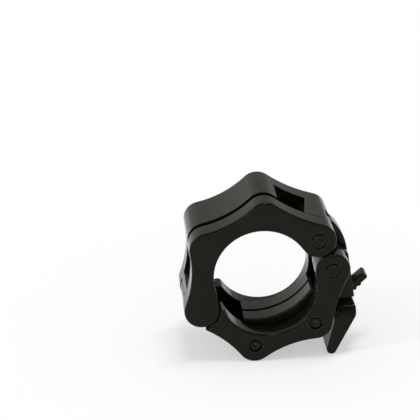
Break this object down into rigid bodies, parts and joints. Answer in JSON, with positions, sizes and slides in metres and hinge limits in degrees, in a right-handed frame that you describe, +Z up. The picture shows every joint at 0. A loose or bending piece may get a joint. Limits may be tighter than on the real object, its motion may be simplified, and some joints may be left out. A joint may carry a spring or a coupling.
{
  "type": "barbell collar",
  "caption": "Two-jaw clamp collar for a barbell sleeve, with grooved pads, a toggle lever with a crescent link, and a toothed release catch.",
  "frame": {"origin": "on the floor under the middle of the closed collar's outer box", "axes": "+Y along the bar from the front face to the rear face, +Z up, +X towards the lever"},
  "size_m": [0.1004, 0.046, 0.0918],
  "materials": {
    "black_shell": "satin moulded nylon",
    "pad_rubber": "matte",
    "black_screw": "black oxide",
    "bright_steel": "turned"
  },
  "bodies": {
    "lower_jaw": {"lower_front_plate": "black_shell", "lower_rear_housing": "black_shell", "lower_pad": "pad_rubber", "lever_pin": "bright_steel", "lever_pin_front_cap": "black_shell", "lever_pin_rear_cap": "black_shell", "catch_screw": "black_screw", "bottom_screw": "black_screw", "catch_bush": "bright_steel", "catch_spring": "bright_steel"},
    "upper_jaw": {"upper_front_plate": "black_shell", "upper_rear_housing": "black_shell", "upper_pad": "pad_rubber", "hinge_pin": "bright_steel", "link_pin": "bright_steel", "link_pin_front_cap": "black_shell", "link_pin_rear_cap": "black_shell", "top_screw": "black_screw", "side_screw": "black_screw"},
    "link": {"link": "black_shell"},
    "lever": {"lever_fork": "black_shell", "thumb_pad": "black_shell", "toggle_rivet": "bright_steel"},
    "catch": {"release_catch": "black_shell"}
  },
  "joints": [
    {"name": "lever_swing", "type": "hinge", "parent": "lower_jaw", "child": "lever", "pos_m": [0.02874, 0, 0.05178], "axis": [0, -1, 0], "range_deg": [0, 62]},
    {"name": "jaw_opening", "type": "hinge", "parent": "lower_jaw", "child": "upper_jaw", "pos_m": [-0.04086, 0, 0.03051], "axis": [0, -1, 0], "range_deg": [0, 2.87]},
    {"name": "link_pivot", "type": "hinge", "parent": "upper_jaw", "child": "link", "pos_m": [0.02086, 0, 0.06907], "axis": [0, -1, 0], "range_deg": [0, 15.45]},
    {"name": "catch_press", "type": "hinge", "parent": "lower_jaw", "child": "catch", "pos_m": [0.02003, 0, 0.02141], "axis": [0, -1, 0], "range_deg": [0, 5], "stiffness_Nm_per_rad": 0.02, "springref_deg": -11.46}
  ],
  "couplings": [
    {"joint": "jaw_opening", "follows": "lever_swing", "ratio": 0.04624},
    {"joint": "link_pivot", "follows": "lever_swing", "ratio": 0.24911}
  ]
}
